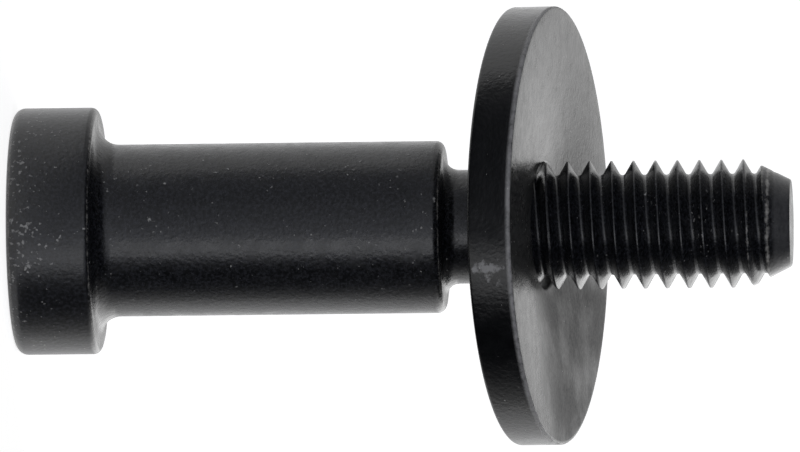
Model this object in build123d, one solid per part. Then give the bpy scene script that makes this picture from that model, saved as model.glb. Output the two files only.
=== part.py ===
from build123d import *

import math
import os

# Tailgate striker bolt and its captive washer.
#
# The bolt is one steel piece: a round flat head, a thick plain shank that the tailgate latch grips,
# a square shoulder, a thinner neck and a stud for a right-hand 3/8-16 rolled thread. It is turned by
# a six-lobe socket in the end of the head. The stud is as thick as the crests of the thread, whose
# groove is left out, and it has the thread's run-in, lead and pilot. The washer is loose on the
# neck: its bore clears the neck but not the stud, so it can't come off.
#
# The bolt stands on its head. The origin is the centre of the head's end face, and +Z runs along
# the bolt to the tip of its thread. Lengths are in millimetres, and angles in degrees.

# Head
head_diameter = 17.8
head_height = 6.1
head_end_round = 0.55
head_back_round = 0.5

# Six-lobe socket, size 50
socket_across_lobes = 8.95
socket_across_ribs = 6.39
socket_lobe_radius = 0.78
socket_depth = 4.8
socket_mouth_chamfer = 0.3
socket_floor_drop = 0.7
socket_floor_diameter = 2.0

# Shank that the latch grips
shank_diameter = 12.45
shank_length = 25.0
shank_root_fillet = 1.6
shoulder_chamfer = 0.35

# Neck between the shoulder and the thread
neck_diameter = 8.2
neck_length = 6.9
neck_fillet = 0.4

# Stud, at the size of the thread's crests
stud_length = 25.1
stud_diameter = 9.26

# Run-in, where the rolled thread grows out of the neck to its full size
run_in_diameter = 8.9
run_in_step = 0.35
run_in_length = 2.3

# Lead, where the last crests shrink, and the unthreaded pilot at the tip
lead_length = 1.4
last_crest_diameter = 7.9
last_crest_step = 0.15
pilot_diameter = 7.0
pilot_length = 1.15
tip_diameter = 5.9

# Washer
washer_diameter = 31.8
washer_thickness = 3.3
washer_bore = 9.15
washer_rim_chamfer = 0.4
washer_bore_chamfer = 0.7
washer_neck_clearance = 0.04
washer_stud_clearance = 0.04
washer_touch_into_stud = 1.49

# Levels that follow from the sizes above
shoulder_height = head_height + shank_length
stud_height = shoulder_height + neck_length
tip_height = shoulder_height + stud_length
pilot_height = tip_height - pilot_length


def turned(*corners):
    """Solid turned about Z. Each corner is a radius, a height and the rounding of that corner."""
    points = [(radius, height) for radius, height, rounding in corners]
    roundings = [rounding for radius, height, rounding in corners]
    outline = FilletPolyline(*points, radius=roundings, close=True)
    return revolve(Plane.XZ * make_face(outline), axis=Axis.Z)


def polar(radius, degrees):
    """Point at a radius and an angle round Z."""
    angle = math.radians(degrees)
    return Vector(radius * math.cos(angle), radius * math.sin(angle))


def plain_bolt():
    """Head, shank, shoulder, neck and stud, turned from one outline."""
    return turned(
        (0, 0, 0),
        (head_diameter / 2, 0, head_end_round),
        (head_diameter / 2, head_height, head_back_round),
        (shank_diameter / 2, head_height, shank_root_fillet),
        (shank_diameter / 2, shoulder_height - shoulder_chamfer, 0),
        (shank_diameter / 2 - shoulder_chamfer, shoulder_height, 0),
        (neck_diameter / 2, shoulder_height, neck_fillet),
        (neck_diameter / 2, stud_height, 0),
        (run_in_diameter / 2, stud_height + run_in_step, 0),
        (stud_diameter / 2, stud_height + run_in_length, 0),
        (stud_diameter / 2, pilot_height - lead_length, 0),
        (last_crest_diameter / 2, pilot_height - last_crest_step, 0),
        (pilot_diameter / 2, pilot_height, 0),
        (tip_diameter / 2, tip_height, 0),
        (0, tip_height, 0),
    )


def socket():
    """Six-lobe recess: lobes and ribs are arcs that run into each other, over a coned floor."""
    lobe_centre = socket_across_lobes / 2 - socket_lobe_radius
    rib_tip = socket_across_ribs / 2
    pitch_cosine = math.cos(math.radians(30))
    rib_radius = (
        socket_lobe_radius**2 - lobe_centre**2 - rib_tip**2 + 2 * lobe_centre * rib_tip * pitch_cosine
    ) / (2 * (rib_tip - lobe_centre * pitch_cosine - socket_lobe_radius))
    rib_centre = rib_tip + rib_radius
    joint_share = socket_lobe_radius / (socket_lobe_radius + rib_radius)

    arcs = []
    for angle in range(0, 360, 60):
        centre = polar(lobe_centre, angle)
        first_joint = centre + (polar(rib_centre, angle - 30) - centre) * joint_share
        last_joint = centre + (polar(rib_centre, angle + 30) - centre) * joint_share
        next_joint = first_joint.rotate(Axis.Z, 60)
        arcs.append(ThreePointArc(first_joint, polar(socket_across_lobes / 2, angle), last_joint))
        arcs.append(ThreePointArc(last_joint, polar(rib_tip, angle + 30), next_joint))

    walls = extrude(make_face(arcs), amount=socket_depth)
    floor = Cone(
        socket_across_ribs / 2,
        socket_floor_diameter / 2,
        socket_floor_drop,
        align=(Align.CENTER, Align.CENTER, Align.MIN),
    )
    mouth = Cone(
        socket_across_lobes / 2 + socket_mouth_chamfer,
        socket_across_lobes / 2,
        socket_mouth_chamfer,
        align=(Align.CENTER, Align.CENTER, Align.MIN),
    )
    return walls + Pos(0, 0, socket_depth) * floor + mouth


def striker_bolt():
    return plain_bolt() - socket()


def washer():
    """Thick washer, cocked on the neck as far as its bore lets it lean.

    One edge of the bore's wall leans on the neck, on the -Y side and towards the head. The opposite
    edge leans on the stud's run-in, on the +Y side.
    """
    bore_radius = washer_bore / 2
    rim_radius = washer_diameter / 2
    half_thickness = washer_thickness / 2
    wall_end = half_thickness - washer_bore_chamfer
    rim_end = half_thickness - washer_rim_chamfer

    risen = (washer_touch_into_stud - run_in_step) / (run_in_length - run_in_step)
    touched_diameter = run_in_diameter + risen * (stud_diameter - run_in_diameter)

    near_radius = neck_diameter / 2 + washer_neck_clearance
    far_radius = touched_diameter / 2 + washer_stud_clearance
    diagonal = math.hypot(2 * bore_radius, 2 * wall_end)
    lean = math.acos((near_radius + far_radius) / diagonal) - math.atan2(wall_end, bore_radius)
    side_shift = (far_radius - near_radius) / 2
    touch_height = stud_height + washer_touch_into_stud
    centre_height = touch_height - bore_radius * math.sin(lean) - wall_end * math.cos(lean)

    flat = turned(
        (bore_radius, -wall_end, 0),
        (bore_radius + washer_bore_chamfer, -half_thickness, 0),
        (rim_radius - washer_rim_chamfer, -half_thickness, 0),
        (rim_radius, -rim_end, 0),
        (rim_radius, rim_end, 0),
        (rim_radius - washer_rim_chamfer, half_thickness, 0),
        (bore_radius + washer_bore_chamfer, half_thickness, 0),
        (bore_radius, wall_end, 0),
    )
    return Pos(0, side_shift, centre_height) * Rot(math.degrees(lean), 0, 0) * flat


os.makedirs("parts", exist_ok=True)
export_step(striker_bolt(), "parts/striker_bolt.step")
export_step(washer(), "parts/washer.step")
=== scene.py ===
import math

import bmesh
import bpy
from mathutils import Matrix, Vector


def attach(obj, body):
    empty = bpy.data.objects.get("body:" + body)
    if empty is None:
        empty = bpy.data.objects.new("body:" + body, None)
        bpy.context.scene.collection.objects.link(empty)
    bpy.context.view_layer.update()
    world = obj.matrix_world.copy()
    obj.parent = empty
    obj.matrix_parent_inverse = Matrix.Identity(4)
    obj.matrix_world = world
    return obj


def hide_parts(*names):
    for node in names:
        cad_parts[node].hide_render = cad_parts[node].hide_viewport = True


# A tailgate striker bolt with its loose washer. The bolt stands on its head: the origin is the
# centre of the head's end face, and +Z runs along the bolt to the tip of its thread.

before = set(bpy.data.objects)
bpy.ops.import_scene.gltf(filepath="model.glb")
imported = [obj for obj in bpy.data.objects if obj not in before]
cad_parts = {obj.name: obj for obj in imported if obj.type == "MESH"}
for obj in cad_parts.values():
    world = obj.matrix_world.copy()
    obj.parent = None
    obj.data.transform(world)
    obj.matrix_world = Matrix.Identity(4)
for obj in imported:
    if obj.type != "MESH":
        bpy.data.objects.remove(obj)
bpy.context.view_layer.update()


# ---------------------------------------------------------------------------------------------
# Striker bolt. One piece of alloy steel: the head is cold formed, the shank and neck are turned,
# and the 3/8-16 thread is rolled. It is hardened, blackened in a hot salt bath and oiled.

# Sizes are in millimetres, and MM turns them to Blender's metres
MM = 0.001
TURN = 2 * math.pi

head_radius = 8.93
head_height = 6.05
head_end_round = 0.8
head_back_round = 0.5
shank_radius = 6.225
shank_root_fillet = 1.5
shoulder_height = 31.15
shoulder_round = 0.6
neck_radius = 4.125
neck_fillet = 1.0
stud_start = 37.0
tip_height = 56.2
tip_radius = 3.13
tip_round = 0.2


def arc(centre, radius, start, end, steps):
    """Points of an arc in the outline's plane, as (radius, height). Angles run from the +r side."""
    r, z = centre
    angles = [math.radians(start + (end - start) * i / steps) for i in range(steps + 1)]
    return [(r + radius * math.cos(a), z + radius * math.sin(a)) for a in angles]


def straight(start, end, steps):
    """Points of a straight run between two points, without its ends."""
    return [
        (start[0] + (end[0] - start[0]) * i / steps, start[1] + (end[1] - start[1]) * i / steps)
        for i in range(1, steps)
    ]


# Outline from the head's end face, with its rings round the socket, to the start of the stud
head_end_rings = (5.2, 6.2, 7.3)
rim_foot = head_radius - head_end_round
rim_top = head_height - head_back_round
fillet_foot = shank_radius + shank_root_fillet
shank_start = head_height + shank_root_fillet
shank_end = shoulder_height - shoulder_round
neck_start = shoulder_height + neck_fillet

outline = [(ring_radius, 0) for ring_radius in head_end_rings]
outline += arc((rim_foot, head_end_round), head_end_round, -90, 0, 9)
outline += straight((head_radius, head_end_round), (head_radius, rim_top), 6)
outline += arc((head_radius - head_back_round, rim_top), head_back_round, 0, 90, 9)
outline += arc((fillet_foot, shank_start), shank_root_fillet, -90, -180, 12)
outline += straight((shank_radius, shank_start), (shank_radius, shank_end), 12)
outline += arc((shank_radius - shoulder_round, shank_end), shoulder_round, 0, 90, 6)
outline += arc((neck_radius + neck_fillet, neck_start), neck_fillet, -90, -180, 6)
outline += straight((neck_radius, neck_start), (neck_radius, stud_start), 5)

# Thread: a 60 degree groove with a rounded root, between crests with small corner rounds
pitch = 25.4 / 16
crest_radius = 4.63
root_radius = 3.6
root_round = 0.24
crest_round = 0.05
first_crest = 39.25
grooves_below = 2
flank_angle = math.radians(30)
sharp_root = root_radius - root_round
half_groove = (crest_radius - sharp_root) * math.tan(flank_angle)

# The crests grow out of the neck, reach their full height, and shrink along the cone of the tip
pilot_start = 55.3
pilot_radius = 3.58
run_in_start = 37.7
run_in_step = 38.2
run_in_radius = 4.54
full_start = 40.25
full_end = 53.2
envelope = [
    (stud_start, neck_radius),
    (run_in_start, neck_radius),
    (run_in_step, run_in_radius),
    (full_start, crest_radius),
    (full_end, crest_radius),
    (pilot_start, pilot_radius),
]

# The groove runs out at both ends: its root rises to the neck, and to the cone of the tip. A
# radius of 0 leaves the groove as deep as its profile.
groove_start = 37.1
groove_open = 37.3
full_groove_start = 37.4
full_groove_end = 54.6
run_out_end = 54.85
run_out_radius = 3.76
root_fill = [
    (stud_start, neck_radius),
    (groove_start, neck_radius),
    (groove_open, root_radius),
    (full_groove_start, 0),
    (full_groove_end, 0),
    (run_out_end, run_out_radius),
    (pilot_start, pilot_radius),
]


def along(points, height):
    """Radius at a height on a line of (height, radius) points."""
    for (z0, r0), (z1, r1) in zip(points, points[1:]):
        if height <= z1:
            return r0 + (r1 - r0) * max(0, height - z0) / (z1 - z0)
    return points[-1][1]


# Half a groove, from the middle of the root to the middle of the crest, as (height, radius)
half_profile = [(0, root_radius)]
for angle in (20, 40, 60):
    a = math.radians(angle)
    half_profile.append(
        (root_round * math.sin(a), root_radius + root_round - root_round * math.cos(a))
    )
flank_foot = half_profile[-1]
tangent = crest_round * math.tan(flank_angle)
flank_top = (
    half_groove - tangent * math.sin(flank_angle),
    crest_radius - tangent * math.cos(flank_angle),
)
half_profile += straight(flank_foot, flank_top, 4)
for angle in (60, 40, 20, 0):
    a = math.radians(angle)
    half_profile.append(
        (
            half_groove + tangent - crest_round * math.sin(a),
            crest_radius - crest_round + crest_round * math.cos(a),
        )
    )
half_profile.append((pitch / 2, crest_radius))
full_profile = half_profile + [(pitch - z, r) for z, r in reversed(half_profile[1:-1])]

# Six-lobe socket, as a radius at each angle: lobes are arcs, and so are the ribs between them. Its
# floor starts a small step inside the ribs, and its mouth a small step outside the lobes.
socket_depth = 4.8
socket_floor_radius = 1.0
socket_floor_depth = 5.5
socket_mouth_depth = 0.3
socket_wall_rings = (socket_depth, 3.3, 1.8, socket_mouth_depth)
socket_mouth_chamfer = 0.3
floor_step = 0.03
mouth_step = 0.02
lobe_round = 0.78
lobe_tip = 4.475
rib_tip = 3.195
half_lobe = math.pi / 6
lobe_centre = lobe_tip - lobe_round
rib_round = (
    lobe_round**2 - lobe_centre**2 - rib_tip**2 + 2 * lobe_centre * rib_tip * math.cos(half_lobe)
) / (2 * (rib_tip - lobe_centre * math.cos(half_lobe) - lobe_round))
rib_centre = rib_tip + rib_round
joint_share = lobe_round / (lobe_round + rib_round)
joint_x = lobe_centre + (rib_centre * math.cos(half_lobe) - lobe_centre) * joint_share
joint_y = rib_centre * math.sin(half_lobe) * joint_share
joint_angle = math.atan2(joint_y, joint_x)


def socket_radius(angle):
    """Distance from the axis to the socket's wall at an angle round the bolt."""
    turned = (angle + half_lobe) % (2 * half_lobe) - half_lobe
    if abs(turned) < joint_angle:
        offset = lobe_centre * math.sin(turned)
        return lobe_centre * math.cos(turned) + math.sqrt(lobe_round**2 - offset**2)
    turned = half_lobe - abs(turned)
    offset = rib_centre * math.sin(turned)
    return rib_centre * math.cos(turned) - math.sqrt(rib_round**2 - offset**2)


# Edges that turn by more degrees than this stay crisp
sharp_edge = 50


class Skin:
    """Mesh of one closed piece, grown ring by ring. A ring has one point on each column."""

    def __init__(self, columns):
        self.mesh = bmesh.new()
        self.columns = columns

    def point(self, radius, angle, height):
        x, y = radius * math.cos(angle), radius * math.sin(angle)
        return self.mesh.verts.new((x * MM, y * MM, height * MM))

    def ring(self, radius, height):
        angles = [TURN * i / self.columns for i in range(self.columns)]
        if callable(radius):
            return [self.point(radius(a), a, height) for a in angles]
        return [self.point(radius, a, height) for a in angles]

    def face(self, *points):
        corners = [p for i, p in enumerate(points) if p is not points[i - 1]]
        if len(corners) > 2:
            self.mesh.faces.new(corners)

    def join(self, lower, upper):
        for i in range(self.columns):
            self.face(lower[i - 1], lower[i], upper[i], upper[i - 1])

    def cap(self, ring, height, upwards):
        centre = self.point(0, 0, height)
        for i in range(self.columns):
            pair = (ring[i - 1], ring[i]) if upwards else (ring[i], ring[i - 1])
            self.face(*pair, centre)

    def done(self, name):
        data = bpy.data.meshes.new(name)
        self.mesh.to_mesh(data)
        self.mesh.free()
        data.shade_smooth()
        data.set_sharp_from_angle(angle=math.radians(sharp_edge))
        piece = bpy.data.objects.new(name, data)
        bpy.context.scene.collection.objects.link(piece)
        return piece


bolt_columns = 192
bolt_skin = Skin(bolt_columns)

# Socket, from the middle of its floor out to the head's end face, and on along the outline
floor_ring = bolt_skin.ring(socket_floor_radius, socket_floor_depth)
bolt_skin.cap(floor_ring, socket_floor_depth, upwards=False)
rings = [floor_ring, bolt_skin.ring(rib_tip - floor_step, socket_depth)]
rings += [bolt_skin.ring(socket_radius, z) for z in socket_wall_rings]
rings += [bolt_skin.ring(lobe_tip + mouth_step, socket_mouth_depth)]
rings += [bolt_skin.ring(lobe_tip + socket_mouth_chamfer, 0)]
rings += [bolt_skin.ring(r, z) for r, z in outline]
for lower, upper in zip(rings, rings[1:]):
    bolt_skin.join(lower, upper)

# Thread. Its rows climb one pitch in a turn, and end on the flat ring where the neck or pilot starts
thread_low = bolt_skin.ring(neck_radius, stud_start)
thread_high = bolt_skin.ring(pilot_radius, pilot_start)
bolt_skin.join(rings[-1], thread_low)
merge_gap = 1e-4
lowest_groove = first_crest - pitch / 2 - grooves_below * pitch
turns = math.ceil((pilot_start - lowest_groove) / pitch) + 1
rows_a_turn = len(full_profile)
row_profile = [
    (lowest_groove + turn * pitch + z, r) for turn in range(turns) for z, r in full_profile
]


def thread_column(column):
    """Points of one column of the thread, from below the stud's start to above the pilot's."""
    share = column / bolt_columns
    points = []
    for row_height, row_radius in row_profile:
        height = row_height + pitch * share
        if height < stud_start + merge_gap:
            points.append(thread_low[column])
        elif height > pilot_start - merge_gap:
            points.append(thread_high[column])
        else:
            radius = max(min(row_radius, along(envelope, height)), along(root_fill, height))
            points.append(bolt_skin.point(radius, TURN * share, height))
    return points


columns = [thread_column(column) for column in range(bolt_columns)]
columns.append(columns[0][rows_a_turn:] + [thread_high[0]] * rows_a_turn)
for left, right in zip(columns, columns[1:]):
    for row in range(len(row_profile) - 1):
        bolt_skin.face(left[row], right[row], right[row + 1], left[row + 1])

# Pilot and tip
tip_face_rings = (2.0, 1.0)
tip_slope = math.atan2(pilot_radius - tip_radius, tip_height - pilot_start)
tip_tangent = tip_round * math.tan((math.pi / 2 - tip_slope) / 2)
tip_centre = (tip_radius - tip_tangent, tip_height - tip_round)
tip_outline = straight((pilot_radius, pilot_start), (tip_radius, tip_height), 3)
tip_outline += arc(tip_centre, tip_round, math.degrees(tip_slope), 90, 5)
tip_outline += [(ring_radius, tip_height) for ring_radius in tip_face_rings]
tip_rings = [thread_high] + [bolt_skin.ring(r, z) for r, z in tip_outline]
for lower, upper in zip(tip_rings, tip_rings[1:]):
    bolt_skin.join(lower, upper)
bolt_skin.cap(tip_rings[-1], tip_height, upwards=True)

bolt = bolt_skin.done("striker_bolt_skin")
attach(bolt, "root")
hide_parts("striker_bolt")


def srgb(code):
    """Linear colour from an sRGB hex code."""
    parts = [int(code[i : i + 2], 16) / 255 for i in (1, 3, 5)]
    return [p / 12.92 if p <= 0.04045 else ((p + 0.055) / 1.055) ** 2.4 for p in parts] + [1.0]


def add(tree, kind, links=(), out=0, **settings):
    """Add a node and give one of its outputs, by number or name. Its node has the other outputs.

    links is what goes into its inputs, in their order or by name: a value, or the output to link.
    """
    new = tree.nodes.new("ShaderNode" + kind)
    for name, value in settings.items():
        setattr(new, name, value)
    for socket, value in links.items() if isinstance(links, dict) else enumerate(links):
        if isinstance(value, bpy.types.NodeSocket):
            tree.links.new(value, new.inputs[socket])
        else:
            new.inputs[socket].default_value = value
    return new.outputs[out] if new.outputs else None


# Oiled black oxide on turned and rolled steel: a thin black conversion layer under a film of oil.
# It gives a near-black body with a soft gloss, mottled where the oil has pooled. Edges that rub
# show lighter steel, painted highlights lie along some edges and over the tip, and the oil holds
# grains of dust.
black_oxide = bpy.data.materials.new("oiled_black_oxide_turned_steel")
black_oxide.use_nodes = True
tree = black_oxide.node_tree
tree.nodes.clear()
place = add(tree, "TexCoord", out="Object")
side, front, height = add(tree, "SeparateXYZ", [place]).node.outputs
flat = add(tree, "CombineXYZ", [side, front])
radius = add(tree, "VectorMath", [flat], out="Value", operation="LENGTH")

# Patterns of the finish: their place, the width of a blotch in millimetres, their detail and their
# roughness. The turning marks run round the bolt. The lathe's feed is really about 0.1 mm, and the
# grain and grit of the salt bath about 0.02 mm: all are drawn as coarse as they need to show.
lathe = add(tree, "Mapping", {"Vector": place, "Scale": (0.12, 0.12, 1.0)})
pattern = {}
for name, vector, size, detail, roughness in (
    ("oil", place, 1.1, 6, 0.6),
    ("grit", place, 0.22, 3, 0.6),
    ("turning", lathe, 0.3, 2, 0.5),
    ("grain", place, 0.3, 4, 0.5),
    ("wear_and_sheen", place, 0.45, 5, 0.7),
    ("scuffs", place, 0.7, 5, 0.7),
    ("drifts", place, 2.6, 2, 0.5),
    ("fluff", place, 0.3, 2, 0.45),
):
    inputs = {"Vector": vector, "Scale": 1 / (size * MM), "Detail": detail, "Roughness": roughness}
    pattern[name] = add(tree, "TexNoise", inputs)

# The oil sets the gloss, and the head is a little duller than the shank
gritty = add(tree, "MapRange", [pattern["grit"], 0.42, 0.72])
gloss = add(tree, "MapRange", [pattern["oil"], 0.3, 0.7, 0.17, 0.33])
on_head = add(tree, "MapRange", [height, (head_height + 0.4) * MM, (head_height - 0.2) * MM])
head_gloss = add(tree, "Math", [on_head, 0.3], operation="MULTIPLY")
gloss = add(tree, "Math", [gloss, head_gloss], operation="MAXIMUM")

# Turning marks under the grain of the salt bath
marks = {"Height": pattern["turning"], "Strength": 0.25, "Distance": 0.01 * MM}
marked = add(tree, "Bump", marks)
grain = {"Height": pattern["grain"], "Strength": 0.8, "Distance": 0.03 * MM, "Normal": marked}
bump = add(tree, "Bump", grain)

# Light lines along edges, partly rubbed steel and partly painted highlights, each a ring of a radius
# and a height, the width of its line, and the strength of its wear and painted highlight
section = add(tree, "CombineXYZ", {"X": radius, "Z": height})
rubbed_and_highlit = 0.0
for edge_radius, edge_height, width, wear_and_sheen in (
    (head_radius - 0.2, 0.2, 0.35, 0.7),
    (head_radius - 0.15, head_height - 0.1, 0.35, 0.62),
    (shank_radius - 0.2, shoulder_height - 0.15, 0.3, 0.65),
    (3.93, full_groove_end, 0.45, 0.76),
    (4.15, 54.2, 0.4, 0.7),
    (4.6, full_end, 0.35, 0.62),
):
    edge = (edge_radius * MM, 0, edge_height * MM)
    away = add(tree, "VectorMath", [section, edge], out="Value", operation="DISTANCE")
    near = add(tree, "MapRange", [away, 0, width * MM, wear_and_sheen, 0.0])
    rubbed_and_highlit = add(tree, "Math", [rubbed_and_highlit, near], operation="MAXIMUM")
rubbed_and_highlit = add(tree, "Math", [rubbed_and_highlit, pattern["wear_and_sheen"]], operation="MULTIPLY")
rubbed_and_highlit = add(tree, "MapRange", [rubbed_and_highlit, 0.24, 0.46, 0.0, 0.9])

# The cut tip is painted lighter all over: a painted highlight for the light it catches, broken up by
# its scuffs
painted_tip_light = add(tree, "MapRange", [height, 54.9 * MM, 55.15 * MM])
scuffs_and_painted_light = add(tree, "MapRange", [pattern["scuffs"], 0.3, 0.7, 0.4, 1.0])
scuffs_and_painted_light = add(tree, "Math", [painted_tip_light, scuffs_and_painted_light], operation="MULTIPLY")

# Dust sticks to the oil: thick on the foot of the head, apart from its +X side, and thin elsewhere
drifts = add(tree, "MapRange", [pattern["drifts"], 0.45, 0.68, 0.0, 0.1])
foot = add(tree, "MapRange", [height, 5.5 * MM, 1.5 * MM, 0.02, 0.12])
dusty_side = add(tree, "MapRange", [side, 4.6 * MM, 3.2 * MM, 0.2, 1.0])
foot = add(tree, "Math", [foot, dusty_side], operation="MULTIPLY")
settled = add(tree, "Math", [drifts, foot], operation="ADD")
fluff = add(tree, "Math", [pattern["fluff"], settled], operation="ADD")
dusty = add(tree, "MapRange", [fluff, 0.76, 0.86, 0.0, 0.9])

# Colours in layers: the oxide, its pools of oil, its grit, rubbed steel with painted edge
# highlights, the tip's scuffs and painted light, and dust
colour = srgb("#040506")
for share, code in (
    (pattern["oil"], "#0d0e11"),
    (gritty, "#2e2f34"),
    (rubbed_and_highlit, "#aeaba6"),
    (scuffs_and_painted_light, "#4b4b4c"),
    (dusty, "#a9a8a6"),
):
    layer = {"Factor": share, "A": colour, "B": srgb(code)}
    colour = add(tree, "Mix", layer, out="Result", data_type="RGBA")
dull = add(tree, "Math", [dusty, 0.8], operation="MULTIPLY")
gloss = add(tree, "Math", [gloss, dull], operation="MAXIMUM")
shader = add(tree, "BsdfPrincipled", {"Base Color": colour, "Roughness": gloss, "Normal": bump})
add(tree, "OutputMaterial", {"Surface": shader})
bolt.data.materials.append(black_oxide)


# ---------------------------------------------------------------------------------------------
# Washer. Blanked from thick steel plate, which rolled its edges over and dished its thread side,
# then barrel polished, and blackened and oiled with the bolt. It is loose on the neck, and leans
# until its bore meets the thread.

washer_radius = 15.85
washer_bore = 4.5575
washer_half = 1.59
rim_round = 0.18
rim_break = 0.25
bore_round = 0.95
hub_round = 0.2
dish = 1.05
dish_steps = 24
washer_lean = math.radians(9.4359)
washer_turn = math.radians(-1.2)
washer_height = 37.8723
washer_side = 0.2161
washer_columns = 288

# The face towards the thread is dished: its slope grows evenly from the rim to the hub
rim_edge = washer_radius - rim_round
hub_edge = washer_bore + hub_round
rim_low = rim_break - washer_half
bore_edge = washer_bore + bore_round
washer_outline = arc((hub_edge, washer_half - dish - hub_round), hub_round, 180, 98, 8)
for step in range(dish_steps):
    share = step / dish_steps
    r = hub_edge + (rim_edge - hub_edge) * share
    washer_outline.append((r, washer_half - dish * (1 - share) ** 2))
washer_outline += arc((rim_edge, washer_half - rim_round), rim_round, 90, 0, 6)
washer_outline += straight((washer_radius, washer_half - rim_round), (washer_radius, rim_low), 5)
washer_outline += arc((washer_radius - rim_break, rim_low), rim_break, 0, -90, 6)
washer_outline += straight((washer_radius - rim_break, -washer_half), (bore_edge, -washer_half), 6)
washer_outline += arc((bore_edge, bore_round - washer_half), bore_round, -90, -180, 8)

washer_skin = Skin(washer_columns)
washer_rings = [washer_skin.ring(r, z) for r, z in washer_outline]
for lower, upper in zip(washer_rings, washer_rings[1:] + washer_rings[:1]):
    washer_skin.join(upper, lower)
bmesh.ops.transform(
    washer_skin.mesh,
    matrix=Matrix.Rotation(washer_turn, 4, "Z")
    @ Matrix.Translation(Vector((0, washer_side, washer_height)) * MM)
    @ Matrix.Rotation(washer_lean, 4, "X"),
    verts=washer_skin.mesh.verts,
)
washer = washer_skin.done("washer_skin")
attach(washer, "root")
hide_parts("washer")

# Oiled black oxide on barrel polished plate: a smooth black skin with a tight grain. It gives
# glossy faces with fine streaks, dull stains where the oil dried, light steel where the rim was
# scuffed, and a light line along the edge of the dished face, partly rubbed steel and partly a
# painted highlight.
polished_oxide = bpy.data.materials.new("oiled_black_oxide_barrel_polished_plate")
polished_oxide.use_nodes = True
tree = polished_oxide.node_tree
tree.nodes.clear()

# Places on the washer are measured from its own middle, as it lay before it leaned
middle = (-math.sin(washer_turn) * washer_side, math.cos(washer_turn) * washer_side, washer_height)
lay = {
    "Vector": add(tree, "TexCoord", out="Object"),
    "Location": Vector(middle) * MM,
    "Rotation": (washer_lean, 0, washer_turn),
}
place = add(tree, "Mapping", lay, vector_type="TEXTURE")
side, front, height = add(tree, "SeparateXYZ", [place]).node.outputs
flat = add(tree, "CombineXYZ", [side, front])
radius = add(tree, "VectorMath", [flat], out="Value", operation="LENGTH")

# Patterns of the finish, given as the bolt's are. The streaks run along X, as the plate was rolled.
# The grain and grit are really about 0.02 mm wide, and the streaks about 0.1 mm: all are drawn as
# coarse as they need to show.
rolled = add(tree, "Mapping", {"Vector": place, "Scale": (0.25, 1.0, 1.0)})
pattern = {}
for name, vector, size, detail, roughness in (
    ("oil", place, 1.3, 6, 0.6),
    ("stains", place, 4.0, 4, 0.6),
    ("ragged", place, 1.4, 3, 0.5),
    ("scuffs", place, 0.5, 5, 0.7),
    ("drifts", place, 3.0, 2, 0.5),
    ("fluff", place, 0.26, 2, 0.4),
    ("streaks", rolled, 0.6, 4, 0.5),
    ("grain", place, 0.3, 4, 0.5),
    ("grit", place, 0.3, 4, 0.7),
):
    inputs = {"Vector": vector, "Scale": 1 / (size * MM), "Detail": detail, "Roughness": roughness}
    pattern[name] = add(tree, "TexNoise", inputs)

# The stains cover the half of the face towards +X, away from the rim that faces -Y
stained = add(tree, "MapRange", [pattern["stains"], 0.3, 0.6, 0.6, 1.0])
on_side = add(tree, "MapRange", [side, 0.5 * MM, 5 * MM])
on_back = add(tree, "MapRange", [front, -13 * MM, 0.0])
on_face = add(tree, "MapRange", [radius, rim_edge * MM, (rim_edge - 0.1) * MM])
for limit in (on_side, on_back, on_face):
    stained = add(tree, "Math", [stained, limit], operation="MULTIPLY")
gloss = add(tree, "MapRange", [pattern["oil"], 0.3, 0.7, 0.17, 0.29])
dried = add(tree, "Math", [stained, 0.5], operation="MULTIPLY")
gloss = add(tree, "Math", [gloss, dried], operation="MAXIMUM")

# A scuffed patch on the rim, where it slid on the bed of the truck
patch_place = Vector((3.6, -15.4, -0.3)) * MM
patch = add(tree, "VectorMath", [place, patch_place], out="Value", operation="DISTANCE")
ragged = add(tree, "Math", [pattern["ragged"], 4.0 * MM], operation="MULTIPLY")
patch = add(tree, "Math", [patch, ragged], operation="ADD")
patch = add(tree, "MapRange", [patch, 2.3 * MM, 3.8 * MM, 1.0, 0.0])
scuffs_and_painted_light = add(tree, "Math", [patch, pattern["scuffs"]], operation="MULTIPLY")
scuffs_and_painted_light = add(tree, "MapRange", [scuffs_and_painted_light, 0.33, 0.5, 0.0, 0.8])

# Light line along the edge where the rim meets the dished face, partly rubbed steel and partly a
# painted highlight
edge = add(tree, "Math", [radius, (washer_radius - 0.05) * MM], operation="SUBTRACT")
edge = add(tree, "Math", [edge], operation="ABSOLUTE")
edge = add(tree, "MapRange", [edge, 0.04 * MM, 0.13 * MM, 1.0, 0.0])
top = add(tree, "MapRange", [height, (washer_half - 0.4) * MM, (washer_half - 0.2) * MM])
rubbed_and_highlit = add(tree, "MapRange", [pattern["scuffs"], 0.3, 0.6, 0.25, 0.9])
for limit in (edge, top):
    rubbed_and_highlit = add(tree, "Math", [rubbed_and_highlit, limit], operation="MULTIPLY")
scuffs_and_painted_light = add(tree, "Math", [scuffs_and_painted_light, rubbed_and_highlit], operation="MAXIMUM")

# Specks of dust and nicks
drifts = add(tree, "Math", [pattern["drifts"], 0.12], operation="MULTIPLY")
fluff = add(tree, "Math", [pattern["fluff"], drifts], operation="ADD")
dusty = add(tree, "MapRange", [fluff, 0.82, 0.85])

# Rolling streaks under the tighter grain of the salt bath
streaks = {"Height": pattern["streaks"], "Strength": 0.3, "Distance": 0.03 * MM}
streaked = add(tree, "Bump", streaks)
grain = {"Height": pattern["grain"], "Strength": 0.7, "Distance": 0.03 * MM, "Normal": streaked}
bump = add(tree, "Bump", grain)

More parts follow.
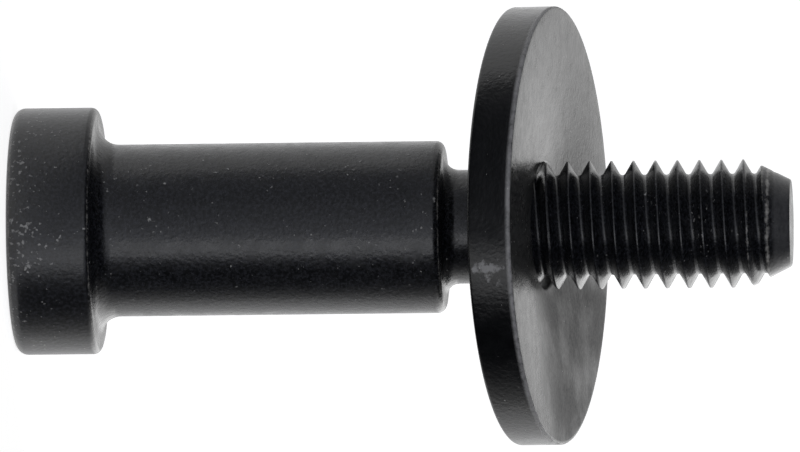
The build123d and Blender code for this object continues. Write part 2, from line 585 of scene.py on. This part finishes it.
# Colours in layers: the oxide, its pools of oil, the grit of its face, scuffed steel, the rim's edge
# line of rubbed steel and painted highlight, and dust
gritty = add(tree, "MapRange", [pattern["grit"], 0.35, 0.65])
gritty = add(tree, "Math", [gritty, on_face], operation="MULTIPLY")
colour = srgb("#060708")
for share, code in (
    (pattern["oil"], "#0d0e11"),
    (gritty, "#4c4c4b"),
    (scuffs_and_painted_light, "#a3a2a2"),
    (dusty, "#c2c1bd"),
):
    layer = {"Factor": share, "A": colour, "B": srgb(code)}
    colour = add(tree, "Mix", layer, out="Result", data_type="RGBA")
dull = add(tree, "Math", [dusty, scuffs_and_painted_light], operation="MAXIMUM")
dull = add(tree, "Math", [dull, 0.7], operation="MULTIPLY")
gloss = add(tree, "Math", [gloss, dull], operation="MAXIMUM")
shader = add(tree, "BsdfPrincipled", {"Base Color": colour, "Roughness": gloss, "Normal": bump})
add(tree, "OutputMaterial", {"Surface": shader})
washer.data.materials.append(polished_oxide)


# ---------------------------------------------------------------------------------------------
# Studio. A pale painted floor under the bolt, a white backdrop behind it, a room of bright walls
# and dark gaps round it, and one soft strip lamp beside the camera and below it.

# The studio's own sizes are in metres. The floor reaches back and to the sides, and stops short in
# front, where it would light the head.
floor_corners = [
    (-2.5, -0.02, 0),
    (0.0, -0.02, 0),
    (0.02, 0.01, 0),
    (2.5, 0.9, 0),
    (2.5, 3.6, 0),
    (-2.5, 3.6, 0),
]
floor_skin = bmesh.new()
floor_skin.faces.new([floor_skin.verts.new(corner) for corner in floor_corners])
floor_data = bpy.data.meshes.new("floor")
floor_skin.to_mesh(floor_data)
floor_skin.free()
floor = bpy.data.objects.new("floor", floor_data)
bpy.context.scene.collection.objects.link(floor)

# Matt white paint: it takes the bolt's soft shadow, and is white to the camera and in reflections
paint = bpy.data.materials.new("pale_studio_floor_paint")
paint.use_nodes = True
tree = paint.node_tree
tree.nodes.clear()
ray = add(tree, "LightPath").node.outputs
seen = add(tree, "Math", [ray["Is Camera Ray"], ray["Is Glossy Ray"]], operation="MAXIMUM")
seen = add(tree, "Math", [seen, ray["Is Transmission Ray"]], operation="MAXIMUM")
glow = add(tree, "Emission", {"Color": srgb("#ffffff"), "Strength": 0.8})
nothing = add(tree, "Emission", {"Strength": 0.0})
glow = add(tree, "MixShader", [seen, nothing, glow])
matt = add(tree, "BsdfDiffuse", {"Color": srgb("#f2f2f2")})
add(tree, "OutputMaterial", {"Surface": add(tree, "AddShader", [matt, glow])})
floor.data.materials.append(paint)

world = bpy.data.worlds.new("studio")
bpy.context.scene.world = world
world.use_nodes = True
tree = world.node_tree
tree.nodes.clear()
ray = add(tree, "LightPath").node.outputs
direction = add(tree, "TexCoord", out="Generated")
side, depth, level = add(tree, "SeparateXYZ", [direction]).node.outputs
nearness = add(tree, "Math", [depth, -1.0], operation="MULTIPLY")
bearing = add(tree, "Math", [side, nearness], operation="ARCTAN2")
bearing = add(tree, "MapRange", [bearing, -math.pi, math.pi])

# Brightness of the room round the bolt, by bearing in degrees from the camera's side towards +X.
# The walls in front are a little cooler than those behind.
room_light = [
    (-180, 1.0),
    (-170, 0.85),
    (-150, 0.75),
    (-130, 0.8),
    (-110, 0.55),
    (-60, 0.36),
    (-45, 0.36),
    (-20, 0.55),
    (10, 0.9),
    (34, 0.85),
    (44, 0.12),
    (60, 0.03),
    (85, 0.1),
    (104, 0.45),
    (120, 1.1),
    (145, 2.0),
    (168, 2.0),
    (180, 1.0),
]
cool_tint = 0.94
brightest = max(brightness for turn, brightness in room_light)
room = add(tree, "ValToRGB", [bearing])
stops = room.node.color_ramp
stops.interpolation = "EASE"
for turn, brightness in room_light[1:-1]:
    stops.elements.new((turn + 180) / 360)
for stop, (turn, brightness) in zip(stops.elements, room_light):
    cool = 1.0 if abs(turn) > 90 else cool_tint
    share = brightness / brightest
    stop.color = (share * cool, share * (1 + cool) / 2, share * (2 - cool), 1)

# The room is dark straight up and down, and its front is dark low down
soft = {"interpolation_type": "SMOOTHSTEP"}
steepness = add(tree, "Math", [level], operation="ABSOLUTE")
strength = add(tree, "MapRange", [steepness, 0.52, 0.8, 1.0, 0.02], **soft)
behind = add(tree, "MapRange", [depth, -0.3, 0.1], **soft)
upper = add(tree, "MapRange", [level, -0.38, -0.02, 0.2], **soft)
lit = add(tree, "Math", [behind, upper], operation="MAXIMUM")
for share in (lit, brightest):
    strength = add(tree, "Math", [strength, share], operation="MULTIPLY")

# The backdrop is plain white to the camera, and in what metal or glass shows of it straight behind
mirrored = add(tree, "Math", [ray["Is Glossy Ray"], ray["Is Transmission Ray"]], operation="MAXIMUM")
straight_behind = add(tree, "MapRange", [depth, 0.985, 0.998])
mirrored = add(tree, "Math", [mirrored, straight_behind], operation="MULTIPLY")
seen = add(tree, "Math", [ray["Is Camera Ray"], mirrored], operation="MAXIMUM")
unseen = add(tree, "Math", [1.0, seen], operation="SUBTRACT")
strength = add(tree, "Math", [strength, unseen], operation="MULTIPLY")
strength = add(tree, "Math", [seen, strength], operation="MAXIMUM")
backdrop = {"Factor": seen, "A": room, "B": srgb("#ffffff")}
shade = add(tree, "Mix", backdrop, out="Result", data_type="RGBA")
shade = add(tree, "Background", {"Color": shade, "Strength": strength})
add(tree, "OutputWorld", {"Surface": shade})

# Strip lamp, which shines on the middle of the bolt with its long side along Z
lamp_place = Vector((0.256, -0.543, -0.23))
lamp_target = Vector((0, 0, 0.028))
back = (lamp_place - lamp_target).normalized()
side = Vector((0, 0, 1)).cross(back).normalized()
facing = Matrix((side, back.cross(side), back)).transposed().to_4x4()
strip = bpy.data.lights.new("strip_lamp", "AREA")
strip.shape = "RECTANGLE"
strip.size = 0.24
strip.size_y = 0.9
strip.energy = 0.68
strip_lamp = bpy.data.objects.new("strip_lamp", strip)
strip_lamp.matrix_world = Matrix.Translation(lamp_place) @ facing
bpy.context.scene.collection.objects.link(strip_lamp)

# Camera. It looks at the bolt's -Y side from a little above, and lies on its side, so that the bolt
# runs from left to right, with its head on the left.
rise = math.radians(4.2)
roll = math.radians(0.656)
camera_distance = 1.2
aim_height = 0.02785
aim_side = 0.000098
back = Vector((0, -math.cos(rise), math.sin(rise)))
right = Vector((0, math.sin(rise), math.cos(rise)))
up = Vector((-1, 0, 0))
rolled_up = up * math.cos(roll) + right * math.sin(roll)
rolled_right = right * math.cos(roll) - up * math.sin(roll)
camera_data = bpy.data.cameras.new("camera")
camera_data.sensor_width = 36
camera_data.lens = 746.8
camera_data.clip_start = 0.05
camera_data.clip_end = 20
camera = bpy.data.objects.new("camera", camera_data)
stand = Vector((0, 0, aim_height)) + rolled_up * aim_side + back * camera_distance
facing = Matrix((rolled_right, rolled_up, back)).transposed().to_4x4()
camera.matrix_world = Matrix.Translation(stand) @ facing
bpy.context.scene.collection.objects.link(camera)
bpy.context.scene.camera = camera
bpy.context.scene.view_settings.view_transform = "Standard"
